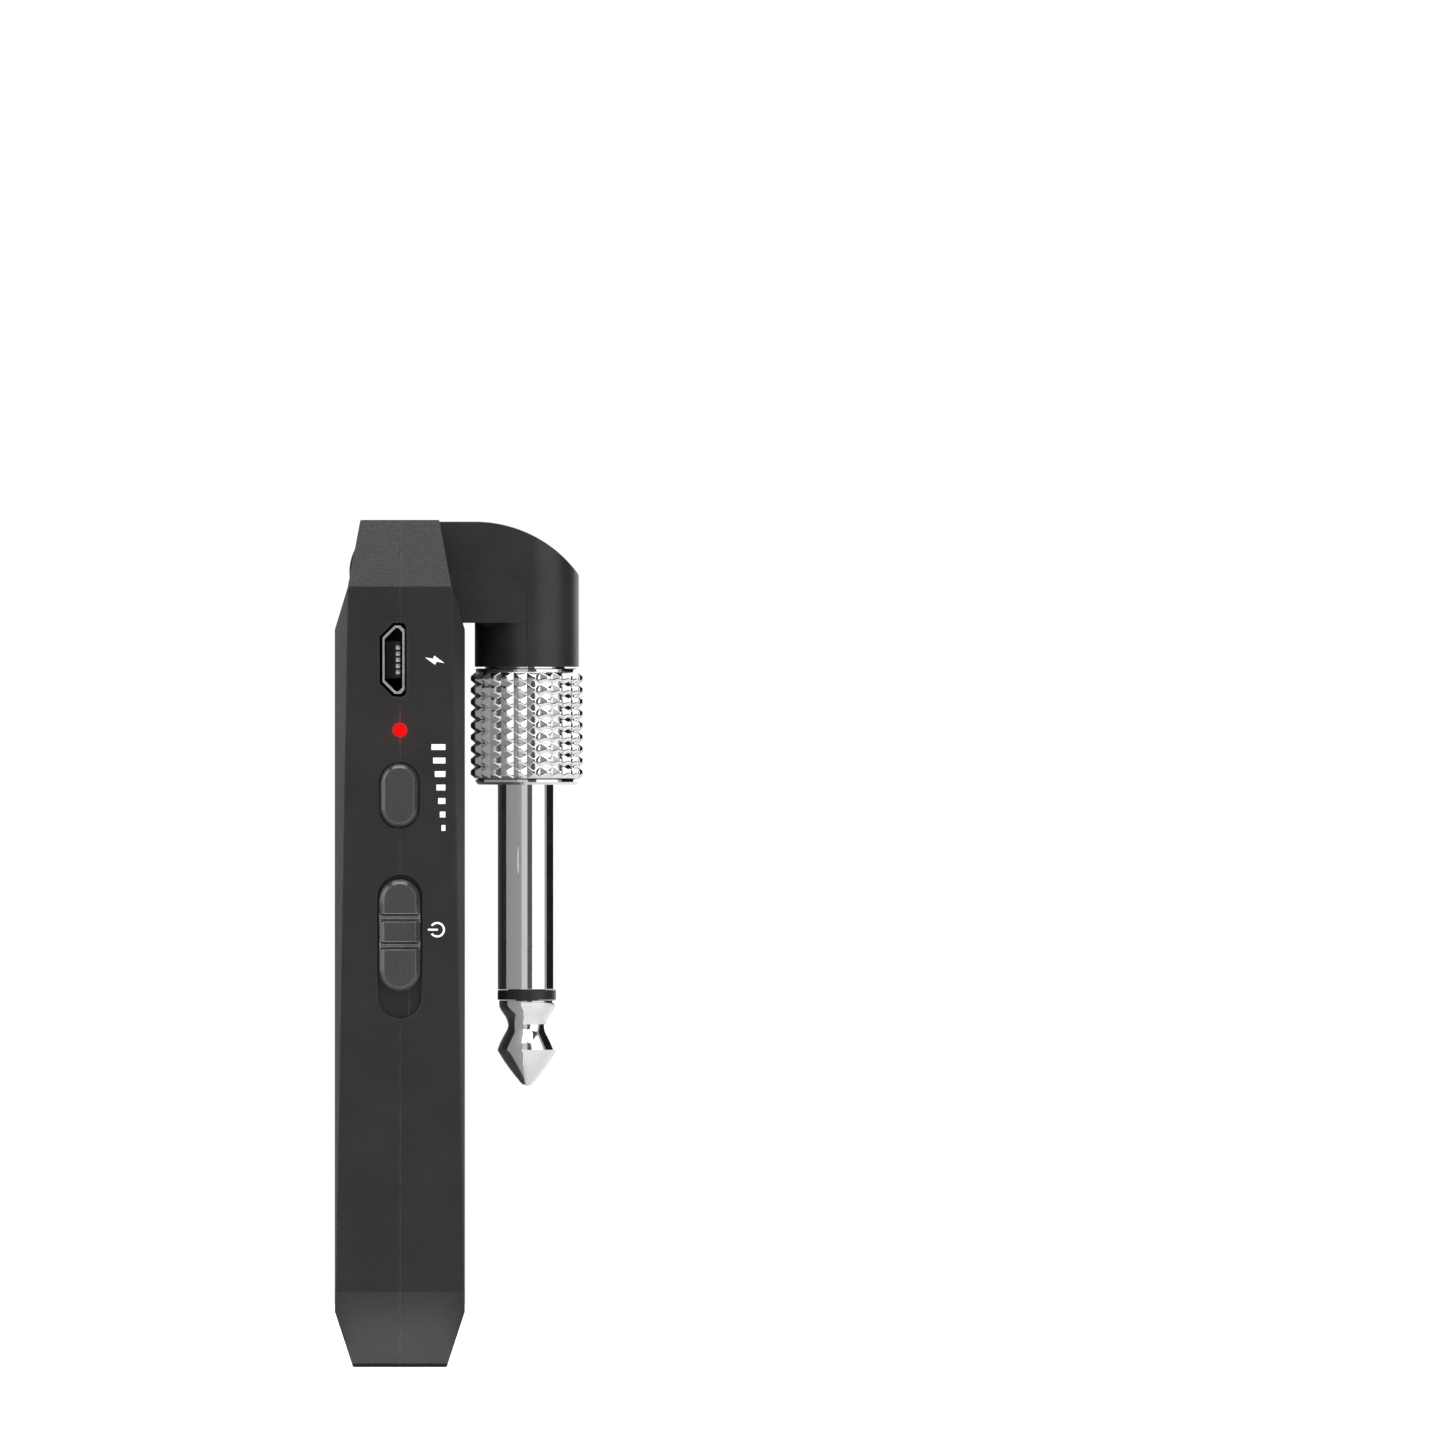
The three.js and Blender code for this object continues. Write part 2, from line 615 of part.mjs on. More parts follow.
// A spring washer and an open clip on each end of the axle.
function hingeEnds() {
  const opening = 0.6;
  const clipShape = new THREE.Shape();
  clipShape.absarc(0, 0, 3.4, -Math.PI / 2 + opening, (3 * Math.PI) / 2 - opening);
  clipShape.absarc(0, 0, AXLE_R - 0.25, (3 * Math.PI) / 2 - opening, -Math.PI / 2 + opening, true);
  const clip = extrude(clipShape.closePath(), "y", -0.3, 0.3, 14);
  const washer = tube(3.3, AXLE_R + 0.1, "y", -0.25, 0.25);
  return [["front", -1], ["rear", 1]].flatMap(([place, side]) => {
    const clipMesh = piece(`hinge_clip_${place}`, clip, FINISH.steel);
    clipMesh.position.y = side * (CLIP_Y + 0.3);
    const washerMesh = piece(`hinge_spring_washer_${place}`, washer, FINISH.steel);
    washerMesh.position.y = side * 7.78;
    return [clipMesh, washerMesh];
  });
}

function armWires() {
  const tip = [[0, -1.0, 0], [4, -1.1, 0], [8.6, -1.1, -0.3], [10.9, -0.7, -1.4], [11.2, -0.4, -2.75]];
  const sleeve = [[0, 1.0, 0], [4, 1.1, 0], [8.6, 1.3, -0.3], [10.9, 1.7, -1.8], [11.4, 1.8, -4.0]];
  return [
    piece("tip_wire", wire(tip), FINISH.redWire),
    piece("sleeve_wire", wire(sleeve), FINISH.blackWire),
  ];
}

// ---- Plug, drawn about its own axis from the barrel's mouth ----

// The band of studs: four-sided pyramids with flat tops, side by side in columns and rows.
function studBand() {
  const { columns, rows, pitch, base, tip, from } = STUDS;
  const step = (2 * Math.PI) / columns;
  const margin = 0.32; // the share of a stud's side that each slope takes
  const at = (r, column, row) => [
    r * Math.sin(column * step),
    -r * Math.cos(column * step),
    from + row * pitch,
  ];
  const positions = [];
  const triangle = (...corners) => positions.push(...corners.flat());
  const quad = (a, b, c, d) => {
    triangle(a, b, c);
    triangle(a, c, d);
  };
  for (let column = 0; column < columns; column++) {
    const next = column + 1;
    for (let row = 0; row < rows; row++) {
      const foot = [[column, row], [next, row], [next, row + 1], [column, row + 1]];
      const low = foot.map(([c, r]) => at(base, c % columns, r));
      const inward = (value, start) => start + margin + (value - start) * (1 - 2 * margin);
      const high = foot.map(([c, r]) => at(tip, inward(c, column), inward(r, row)));
      low.forEach((corner, i) => quad(corner, low[(i + 1) % 4], high[(i + 1) % 4], high[i]));
      quad(...high);
    }
    triangle([0, 0, from], at(base, next % columns, 0), at(base, column, 0));
    triangle([0, 0, from + rows * pitch], at(base, column, rows), at(base, next % columns, rows));
  }
  const geometry = new THREE.BufferGeometry();
  geometry.setAttribute("position", new THREE.BufferAttribute(new Float32Array(positions), 3));
  return solid(geometry);
}

function knurledCollar() {
  const rim = turn(
    [
      [0, COLLAR_END],
      [STUDS.base - 0.25, COLLAR_END],
      [STUDS.base, COLLAR_END + 0.25],
      [STUDS.base, STUDS.from],
      [STUDS.base - 0.4, STUDS.from + 0.4],
      [0, STUDS.from + 0.4],
    ],
    "z",
  );
  const neck = rod(NECK_R, "z", -1, -0.17, 40);
  const bore = join(rod(SLEEVE_R + 0.07, "z", COLLAR_END - 1, -8), rod(BASE_R + 0.07, "z", -8.6, 1));
  return piece("knurled_collar", join(studBand(), rim, neck).subtract(bore), FINISH.chrome);
}

function plugSleeve() {
  const bore = 2.1;
  const profile = [
    [bore, SLEEVE_END],
    [SLEEVE_R - 0.08, SLEEVE_END],
    [SLEEVE_R, SLEEVE_END + 0.08],
    [SLEEVE_R, -8.4],
    [BASE_R, -8.4],
    [BASE_R, 5.2],
    [bore, 5.2],
    [bore, SLEEVE_END],
  ];
  return piece("plug_sleeve", turn(profile, "z"), FINISH.chrome);
}

function plugInsulation() {
  const ring = [
    [1.3, TIP_TOP + 0.06],
    [SLEEVE_R, TIP_TOP + 0.06],
    [SLEEVE_R, SLEEVE_END - 0.06],
    [2.0, SLEEVE_END - 0.06],
    [2.0, SLEEVE_END + 0.8],
    [1.3, SLEEVE_END + 0.8],
    [1.3, TIP_TOP + 0.06],
  ];
  return [
    piece("plug_insulator_ring", turn(ring, "z"), FINISH.insulator),
    piece("plug_inner_insulator", tube(2.0, 1.3, "z", SLEEVE_END + 1, 6), FINISH.insulator),
  ];
}

// The tip: a short land, a waist, a flare to full width and a cone with a rounded point.
function plugTip() {
  const waist = new THREE.SplineCurve([
    new THREE.Vector2(3.18, -41.35),
    new THREE.Vector2(3.07, -40.85),
    new THREE.Vector2(2.45, -39.65),
    new THREE.Vector2(2.04, -38.7),
    new THREE.Vector2(2.12, -38.2),
    new THREE.Vector2(2.65, -37.25),
    new THREE.Vector2(3.0, -36.5),
  ]);
  const cone = new THREE.QuadraticBezierCurve(
    new THREE.Vector2(0.95, TIP_END + 0.5),
    new THREE.Vector2(2.4, -42.75),
    new THREE.Vector2(3.12, -41.5),
  );
  const point = new THREE.QuadraticBezierCurve(
    new THREE.Vector2(0, TIP_END),
    new THREE.Vector2(0.6, TIP_END),
    new THREE.Vector2(0.95, TIP_END + 0.5),
  );
  const outline = [...point.getPoints(3), ...cone.getPoints(4).slice(1), ...waist.getPoints(11)];
  const profile = [...outline.map((p) => [p.x, p.y]), [3.0, TIP_TOP], [0, TIP_TOP]];
  const socket = rod(1.25, "z", -39, TIP_TOP + 1, 24);
  return piece("plug_tip", turn(profile, "z").subtract(socket), FINISH.chrome);
}

function lugs() {
  const tab = box([-3.2, -1.2], [-0.9, 0.3], [0, 0.4]).subtract(rod(1.28, "z", -1, 1, 24));
  const tipLug = tube(1.9, 1.28, "z", 0, 0.4, 24).add(tab);
  const sleeveLug = tube(4, 2.2, "z", 0, 0.4, 32);
  const tipMesh = piece("tip_solder_lug", tipLug, FINISH.brass);
  tipMesh.position.z = 6.6;
  const sleeveMesh = piece("sleeve_solder_lug", sleeveLug, FINISH.brass);
  sleeveMesh.position.z = 5.3;
  return [tipMesh, sleeveMesh];
}

// ---- The assembly ----

function group(position, pieces) {
  const made = new THREE.Group();
  made.position.set(...position);
  made.add(...pieces);
  return made;
}

const plug = group(
  [PLUG_X, 0, BARREL_END],
  [
    knurledCollar(),
    plugSleeve(),
    ...plugInsulation(),
    plugTip(),
    piece("plug_tip_rod", rod(1.2, "z", -38.8, 7.6, 24), FINISH.brass),
    ...lugs(),
  ],
);

const arm = group(
  [0, 0, HINGE_Z],
  [...armShells(), ...armScrews(), hingeAxle(), ...hingeEnds(), ...armWires(), plug],
);

const housing = group(
  [0, 0, 0],
  [
    ...shells(),
    ...caseScrews(),
    ...hingeBushes(),
    mainBoard(),
    ...chargingSocket(),
    ...statusLight(),
    channelSwitchBody(),
    powerSwitchBody(),
    ...chips(),
    ...battery(),
    ...boardWires(),
  ],
);

const transmitter = group([0, 0, 0], [housing, ...channelButton(), ...powerSlider(), arm]);
transmitter.name = "wireless_guitar_transmitter";

export default transmitter;
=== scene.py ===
"""The looks of a wireless guitar transmitter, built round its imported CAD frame. Blender 4.5, in metres."""

import json
import math

import bmesh
import bpy
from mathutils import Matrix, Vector
from mathutils.bvhtree import BVHTree


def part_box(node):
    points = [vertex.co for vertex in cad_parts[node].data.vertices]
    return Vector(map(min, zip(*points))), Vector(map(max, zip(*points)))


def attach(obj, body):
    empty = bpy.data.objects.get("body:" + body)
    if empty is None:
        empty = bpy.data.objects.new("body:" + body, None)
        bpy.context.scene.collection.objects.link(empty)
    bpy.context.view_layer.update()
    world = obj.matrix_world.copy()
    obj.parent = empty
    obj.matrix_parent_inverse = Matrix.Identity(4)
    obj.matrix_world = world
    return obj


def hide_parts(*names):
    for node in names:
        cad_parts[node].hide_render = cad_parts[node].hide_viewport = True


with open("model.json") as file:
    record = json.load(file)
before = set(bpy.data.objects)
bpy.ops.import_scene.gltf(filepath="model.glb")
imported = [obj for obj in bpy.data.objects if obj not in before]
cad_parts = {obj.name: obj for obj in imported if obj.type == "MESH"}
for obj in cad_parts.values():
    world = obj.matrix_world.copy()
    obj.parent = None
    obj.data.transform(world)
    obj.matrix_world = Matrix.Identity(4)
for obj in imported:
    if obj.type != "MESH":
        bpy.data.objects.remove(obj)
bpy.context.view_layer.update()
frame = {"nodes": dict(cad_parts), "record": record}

MM = 0.001
NODES = frame["nodes"]
RECORD = frame["record"]

# ---- Places and sizes read from the frame ----

SIDE_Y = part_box("left_shell")[0].y  # the narrow side that holds the controls
CASE_FOOT, CASE_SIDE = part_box("right_shell")[0].z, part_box("right_shell")[1].x
LIGHT = sum(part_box("status_light_pipe"), Vector()) / 2
BUTTON = sum(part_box("channel_button"), Vector()) / 2
KNOB = sum(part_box("power_slider_knob"), Vector()) / 2
SOCKET = sum(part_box("usb_socket_shell"), Vector()) / 2

SLEEVE_LOW, SLEEVE_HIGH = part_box("plug_sleeve")
PLUG_X = (SLEEVE_LOW.x + SLEEVE_HIGH.x) / 2
COLLAR_LOW, COLLAR_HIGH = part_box("knurled_collar")
RING_LOW, RING_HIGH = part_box("plug_insulator_ring")
TIP_LOW, TIP_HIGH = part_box("plug_tip")
BARREL_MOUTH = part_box("arm_outer_shell")[0].z
PIN_R = (RING_HIGH.x - RING_LOW.x) / 2
STUD_R = (COLLAR_HIGH.x - COLLAR_LOW.x) / 2


# ---- Material tools ----


def new_material(name, **constants):
    """A material's node tree and its Principled shader, with these constants set on the shader's sockets."""
    material = bpy.data.materials.new(name)
    material.use_nodes = True
    tree = material.node_tree
    shader = tree.nodes["Principled BSDF"]
    for socket, value in constants.items():
        shader.inputs[socket.replace("_", " ")].default_value = value
    return material, tree, shader


def add(tree, kind, inputs=None, **settings):
    """A node of that kind. An input's value is a constant, or the output socket that feeds it."""
    node = tree.nodes.new("ShaderNode" + kind)
    for name, value in settings.items():
        setattr(node, name, value)
    for name, value in (inputs or {}).items():
        if isinstance(value, bpy.types.NodeSocket):
            tree.links.new(value, node.inputs[name])
        else:
            node.inputs[name].default_value = value
    return node


def place(tree, stretch=(1, 1, 1)):
    """The point in the frame, in metres, with each axis multiplied by stretch."""
    point = add(tree, "TexCoord").outputs["Object"]
    if stretch == (1, 1, 1):
        return point
    return add(tree, "Mapping", {"Vector": point, "Scale": stretch}).outputs["Vector"]


def noise(tree, size, detail=2.0, stretch=(1, 1, 1)):
    """Noise from 0 to 1 whose lumps are about size metres across."""
    inputs = {"Vector": place(tree, stretch), "Scale": 1 / size, "Detail": detail}
    return add(tree, "TexNoise", inputs).outputs["Fac"]


def ranged(tree, value, source, target):
    """A value's source range spread over the target range, and clamped to it."""
    inputs = {
        "Value": value,
        "From Min": source[0],
        "From Max": source[1],
        "To Min": target[0],
        "To Max": target[1],
    }
    return add(tree, "MapRange", inputs).outputs["Result"]


def blend_colours(tree, factor, low, high):
    """A colour between two RGB triples."""
    mix = add(tree, "Mix", {"Factor": factor}, data_type="RGBA")
    mix.inputs[6].default_value = (*low, 1)
    mix.inputs[7].default_value = (*high, 1)
    return mix.outputs[2]


def product(tree, a, b):
    """Two values multiplied."""
    return add(tree, "Math", {0: a, 1: b}, operation="MULTIPLY").outputs["Value"]


def bump(tree, shader, height, depth):
    """Raises the surface by depth metres where height is 1."""
    inputs = {"Height": height, "Distance": depth}
    normal = add(tree, "Bump", inputs).outputs["Normal"]
    tree.links.new(normal, shader.inputs["Normal"])


def feed(tree, shader, **sockets):
    """Links outputs to the shader's sockets of these names."""
    for socket, value in sockets.items():
        tree.links.new(value, shader.inputs[socket.replace("_", " ")])


def edge_mask(tree, radius):
    """1 along edges sharper than the radius, and 0 on flats, from how far a rounded normal turns."""
    rounded = add(tree, "Bevel", {"Radius": radius}, samples=4).outputs["Normal"]
    straight = add(tree, "NewGeometry").outputs["Normal"]
    inputs = {0: rounded, 1: straight}
    facing = add(tree, "VectorMath", inputs, operation="DOT_PRODUCT").outputs["Value"]
    return ranged(tree, facing, (0.995, 0.9), (0, 1))


# ---- Materials ----

EDGE_WIDTH = 0.12 * MM  # how far from an edge its wear and painted highlight reach


def moulded_plastic(name, dark, light, roughness, grain, depth, wear_and_highlight, specular=0.5):
    """Moulded plastic with a spark-eroded grain, faint mottling and edges made paler, partly as wear from
    handling and partly as a painted highlight.
    """
    material, tree, shader = new_material(name, Specular_IOR_Level=specular)
    mottle = noise(tree, 6 * MM, detail=4)
    specks = noise(tree, grain, detail=3)
    # paler edges: partly wear, partly a painted highlight that stands in for light caught on the edges
    patchiness = ranged(tree, noise(tree, 2 * MM), (0.2, 0.55), (0.3, 1))
    wear_and_highlight_mask = product(tree, edge_mask(tree, EDGE_WIDTH), patchiness)
    mottled = blend_colours(tree, ranged(tree, mottle, (0.35, 0.65), (0, 0.6)), dark, light)
    wear_and_highlight_colour = blend_colours(tree, wear_and_highlight_mask, (0, 0, 0), (wear_and_highlight, wear_and_highlight, wear_and_highlight))
    paler = add(tree, "Mix", {"Factor": 1.0, 6: mottled, 7: wear_and_highlight_colour}, data_type="RGBA", blend_type="ADD")
    feed(tree, shader, Base_Color=paler.outputs[2])
    rough = ranged(tree, specks, (0.3, 0.7), (roughness - 0.05, roughness + 0.07))
    feed(tree, shader, Roughness=rough)
    bump(tree, shader, specks, depth)
    return material


def case_black():
    dark, light = (0.0065, 0.0065, 0.0067), (0.015, 0.015, 0.0154)
    grain = {"roughness": 0.45, "grain": 0.2 * MM, "depth": 0.05 * MM}
    # the case's paler edges are partly wear and partly a painted highlight
    return moulded_plastic("case_plastic", dark, light, **grain, wear_and_highlight=0.13)


def arm_black():
    dark, light = (0.015, 0.015, 0.0155), (0.026, 0.026, 0.027)
    grain = {"roughness": 0.36, "grain": 0.12 * MM, "depth": 0.005 * MM}
    return moulded_plastic("arm_plastic", dark, light, **grain, wear_and_highlight=0.03)


def control_black():
    dark, light = (0.026, 0.026, 0.0265), (0.042, 0.042, 0.043)
    grain = {"roughness": 0.23, "grain": 0.14 * MM, "depth": 0.01 * MM}
    # the strong edge paleness here is mostly a painted highlight along the knob's ribs and the key's edges,
    # and a little wear
    return moulded_plastic("control_plastic", dark, light, **grain, wear_and_highlight=0.6, specular=0.95)


def insulator_black():
    material, tree, shader = new_material("insulator_plastic", Roughness=0.38)
    turned = noise(tree, 0.25 * MM, stretch=(0.2, 0.2, 1))
    feed(tree, shader, Base_Color=blend_colours(tree, turned, (0.006, 0.006, 0.006), (0.013, 0.013, 0.013)))
    bump(tree, shader, turned, 0.004 * MM)
    return material


def polished_metal(name, colour, smudged, turning):
    """Polished plating with faint turning marks round the upright axis and uneven wiping."""
    material, tree, shader = new_material(name, Metallic=1.0)
    lines = noise(tree, 0.12 * MM, detail=3, stretch=(0.05, 0.05, 1))
    wiped = noise(tree, 3 * MM, detail=5)
    dark = tuple(0.965 * c for c in colour)
    feed(tree, shader, Base_Color=blend_colours(tree, wiped, dark, colour))
    feed(tree, shader, Roughness=ranged(tree, wiped, (0.35, 0.7), smudged))
    bump(tree, shader, lines, turning)
    return material


def plated_metal():
    return polished_metal("chrome_plating", (0.86, 0.86, 0.87), (0.06, 0.11), 0.0006 * MM)


def steel():
    """Plain bright steel with fine brushing."""
    material, tree, shader = new_material("bright_steel", Metallic=1.0)
    brushed = noise(tree, 0.1 * MM, detail=4, stretch=(1, 1, 0.15))
    feed(tree, shader, Base_Color=blend_colours(tree, brushed, (0.5, 0.5, 0.49), (0.66, 0.66, 0.64)))
    feed(tree, shader, Roughness=ranged(tree, brushed, (0.3, 0.7), (0.2, 0.36)))
    bump(tree, shader, brushed, 0.003 * MM)
    return material


def brass():
    material, tree, shader = new_material("machined_brass", Metallic=1.0)
    tarnish = noise(tree, 1.5 * MM, detail=5)
    feed(tree, shader, Base_Color=blend_colours(tree, tarnish, (0.42, 0.27, 0.09), (0.68, 0.48, 0.2)))
    feed(tree, shader, Roughness=ranged(tree, tarnish, (0.3, 0.7), (0.2, 0.4)))
    bump(tree, shader, noise(tree, 0.1 * MM, stretch=(0.1, 1, 0.1)), 0.003 * MM)
    return material


def red_lens():
    """A lit red lens, dimmer towards its rim."""
    lit = {"Base_Color": (0.2, 0.0, 0.001, 1), "Specular_IOR_Level": 0.1}
    material, tree, shader = new_material("lit_red_lens", Roughness=0.3, **lit)
    cloudy = noise(tree, 0.3 * MM)
    feed(tree, shader, Emission_Color=blend_colours(tree, cloudy, (1, 0.0, 0.0006), (1, 0.0006, 0.001)))
    axis = {0: place(tree), 1: (LIGHT.x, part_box("status_light_pipe")[0].y, LIGHT.z)}
    away = add(tree, "VectorMath", axis, operation="DISTANCE").outputs["Value"]
    feed(tree, shader, Emission_Strength=ranged(tree, away, (0.4 * MM, 0.7 * MM), (1.2, 0.3)))
    return material


def circuit_board():
    """Green solder mask with raised copper tracks under it."""
    material, tree, shader = new_material("solder_mask", Roughness=0.32, Coat_Weight=0.4)
    grid = {"Vector": place(tree, (1, 1, 0.8)), "Scale": 700.0, "Randomness": 0.0}
    tracks = add(tree, "TexVoronoi", grid, feature="DISTANCE_TO_EDGE").outputs["Distance"]
    copper = ranged(tree, tracks, (0.08, 0.1), (1, 0))
    feed(tree, shader, Base_Color=blend_colours(tree, copper, (0.004, 0.05, 0.02), (0.01, 0.11, 0.045)))
    bump(tree, shader, copper, 0.03 * MM)
    return material


def chip_black():
    material, tree, shader = new_material("moulded_epoxy")
    grit = noise(tree, 0.1 * MM, detail=4)
    feed(tree, shader, Base_Color=blend_colours(tree, grit, (0.009, 0.009, 0.01), (0.02, 0.02, 0.021)))
    feed(tree, shader, Roughness=ranged(tree, grit, (0.3, 0.7), (0.45, 0.65)))
    bump(tree, shader, grit, 0.01 * MM)
    return material


def ceramic_white():
    material, tree, shader = new_material("fired_ceramic")
    grit = noise(tree, 0.2 * MM, detail=4)
    feed(tree, shader, Base_Color=blend_colours(tree, grit, (0.62, 0.6, 0.53), (0.78, 0.76, 0.7)))
    feed(tree, shader, Roughness=ranged(tree, grit, (0.3, 0.7), (0.45, 0.65)))
    bump(tree, shader, grit, 0.008 * MM)
    return material


def cell_foil():
    """Crinkled pouch foil."""
    material, tree, shader = new_material("pouch_foil", Metallic=0.85)
    crinkle = noise(tree, 2.5 * MM, detail=6)
    feed(tree, shader, Base_Color=blend_colours(tree, crinkle, (0.5, 0.51, 0.52), (0.68, 0.69, 0.7)))
    feed(tree, shader, Roughness=ranged(tree, crinkle, (0.3, 0.7), (0.25, 0.45)))
    bump(tree, shader, crinkle, 0.2 * MM)
    return material


def foam_grey():
    material, tree, shader = new_material("open_foam", Roughness=0.95, Sheen_Weight=0.2)
    cells = add(tree, "TexVoronoi", {"Vector": place(tree), "Scale": 2500.0}).outputs["Distance"]
    feed(tree, shader, Base_Color=blend_colours(tree, cells, (0.02, 0.02, 0.022), (0.075, 0.075, 0.08)))
    bump(tree, shader, cells, 0.2 * MM)
    return material


def wire_insulation(name, dark, light):
    material, tree, shader = new_material(name)
    scuffs = noise(tree, 0.7 * MM, detail=4)
    feed(tree, shader, Base_Color=blend_colours(tree, scuffs, dark, light))
    feed(tree, shader, Roughness=ranged(tree, scuffs, (0.3, 0.7), (0.3, 0.5)))
    bump(tree, shader, scuffs, 0.01 * MM)
    return material


def red_wire():
    return wire_insulation("red_insulation", (0.3, 0.008, 0.01), (0.45, 0.015, 0.015))


def black_wire():
    return wire_insulation("black_insulation", (0.008, 0.008, 0.008), (0.02, 0.02, 0.02))


def white_ink_painted_glow():
    """Pad-printed white ink, a little uneven, with a painted glow that makes it brighter than the lamps alone
    would.
    """
    material, tree, shader = new_material("white_ink_painted_glow", Roughness=0.5, Emission_Strength=0.45)
    cover = noise(tree, 0.25 * MM, detail=3)
    white = blend_colours(tree, cover, (0.88, 0.88, 0.88), (0.98, 0.98, 0.98))
    # the same white feeds the emission too: a painted glow, since ink is no lamp
    feed(tree, shader, Base_Color=white, Emission_Color=white)
    bump(tree, shader, cover, 0.004 * MM)
    return material


SLOT_MATERIALS = {
    "case_black": case_black,
    "arm_black": arm_black,
    "control_black": control_black,
    "insulator_black": insulator_black,
    "plated_metal": plated_metal,
    "steel": steel,
    "brass": brass,
    "red_lens": red_lens,
    "circuit_board": circuit_board,
    "chip_black": chip_black,
    "ceramic_white": ceramic_white,
    "cell_foil": cell_foil,
    "foam_grey": foam_grey,
    "red_wire": red_wire,
    "black_wire": black_wire,
}
MATERIALS = {slot: make() for slot, make in SLOT_MATERIALS.items()}
INK_WHITE_PAINTED_GLOW = white_ink_painted_glow()
SLOT_OF = {row["node"]: row["material_slot"] for row in RECORD["subparts"]}
BODY_OF = {node: body for body, members in RECORD["behaviour"]["bodies"].items() for node in members}


def dress_cad_nodes():
    """Gives every CAD node the material of its slot."""
    for name, node in NODES.items():
        node.material_slots[0].material = MATERIALS[SLOT_OF[name]]


# ---- Mesh tools ----


def new_piece(name, mesh, material, body):
    """A named object with its material, riding on its body."""
    piece = bpy.data.objects.new(name, mesh)
    bpy.context.scene.collection.objects.link(piece)
    mesh.materials.append(material)
    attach(piece, body)
    return piece


def slot_piece(name, mesh, slot, body, replaced=()):
    """A piece in one of the record's material slots, which stands for the CAD nodes it replaces."""
    piece = new_piece(name, mesh, MATERIALS[slot], body)
    if replaced:
        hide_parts(*replaced)
    return piece


def shade(bm, crease=30):
    """Smooth shading, with edges that turn more than crease degrees kept sharp."""
    for face in bm.faces:
        face.smooth = True
    for edge in bm.edges:
        edge.smooth = len(edge.link_faces) == 2 and edge.calc_face_angle() < math.radians(crease)


def to_mesh(bm, name):
    """A mesh with what the bmesh holds, which is then freed."""
    mesh = bpy.data.meshes.new(name)
    bm.to_mesh(mesh)
    bm.free()
    return mesh


def weigh_normals(piece):
    """Lets the broad faces set the shading, so that only the narrow rounded edges turn."""
    modifier = piece.modifiers.new("broad_faces_first", "WEIGHTED_NORMAL")
    modifier.keep_sharp = True
    modifier.weight = 100


SHARP = math.radians(20)  # edges that turn less than this aren't rounded
PARTING_REACH = 0.06 * MM  # an edge this close to a neighbour lies on a parting line
PARTING_SHARE = 0.25  # of the rounding that the other edges get


def middle_of(edge):
    """The point halfway along an edge."""
    return (edge.verts[0].co + edge.verts[1].co) / 2


def probe_point(face, edge):
    """A point just outside the solid, over the part of the face beside the edge."""
    loop = next(l for l in edge.link_loops if l.face == face)
    along = loop.link_loop_next.vert.co - loop.vert.co
    inward = face.normal.cross(along).normalized()
    return middle_of(edge) + inward * 0.02 * MM + face.normal * 0.005 * MM


def beside_light(edge):
    """Whether the edge is on the rim of the light's hole."""
    middle = middle_of(edge)
    return math.hypot(middle.x - LIGHT.x, middle.z - LIGHT.z) < 1 * MM


def outer_edges(bm, tree):
    """The convex edges beside a face that looks out into the open, but for the light's crisp hole."""
    chosen = []
    for edge in bm.edges:
        if len(edge.link_faces) != 2 or not edge.is_convex or beside_light(edge):
            continue
        if edge.calc_face_angle() < SHARP:
            continue
        probes = [(probe_point(face, edge), face.normal) for face in edge.link_faces]
        if any(tree.ray_cast(point, normal)[0] is None for point, normal in probes):
            chosen.append(edge)
    return chosen


def node_bmesh(name):
    """A copy of a CAD node's mesh with its corners joined, its flat faces whole and no vectors on corners."""
    bm = bmesh.new()
    bm.from_mesh(NODES[name].data)
    for layer in list(bm.loops.layers.float_vector.values()):
        bm.loops.layers.float_vector.remove(layer)
    bmesh.ops.remove_doubles(bm, verts=bm.verts, dist=0.2e-6)
    bmesh.ops.dissolve_limit(bm, angle_limit=math.radians(0.3), verts=bm.verts, edges=bm.edges)
    return bm


def neighbours_tree(names):
    """A search tree of several CAD nodes' faces."""
    points, faces = [], []
    for name in names:
        mesh = NODES[name].data
        start = len(points)
        points += [v.co.copy() for v in mesh.vertices]
        faces += [[start + i for i in p.vertices] for p in mesh.polygons]
    return BVHTree.FromPolygons(points, faces)


def rounded_edges(piece, width):
    """Rounds the edges by width times their bevel weights."""
    modifier = piece.modifiers.new("rounded_edges", "BEVEL")
    modifier.limit_method = "WEIGHT"
    modifier.offset_type = "OFFSET"
    modifier.width = width
    modifier.segments = 2
    modifier.use_clamp_overlap = False


def soften(node, beside, width):
    """A copy of a CAD node with its open edges rounded, which stands for the node. Edges that meet the
    neighbours beside it along a parting line are rounded much less."""
    bm = node_bmesh(node)
    shade(bm)
    weights = bm.edges.layers.float.new("bevel_weight_edge")
    neighbours = neighbours_tree(beside) if beside else None
    for edge in outer_edges(bm, neighbours_tree([node, *beside])):
        parting = neighbours and neighbours.find_nearest(middle_of(edge), PARTING_REACH)[0] is not None
        edge.smooth = True
        edge[weights] = PARTING_SHARE if parting else 1.0
    name = node + "_rounded"
    piece = slot_piece(name, to_mesh(bm, name), SLOT_OF[node], BODY_OF[node], [node])
    rounded_edges(piece, width)
    weigh_normals(piece)


TURNED_SIDES = 128


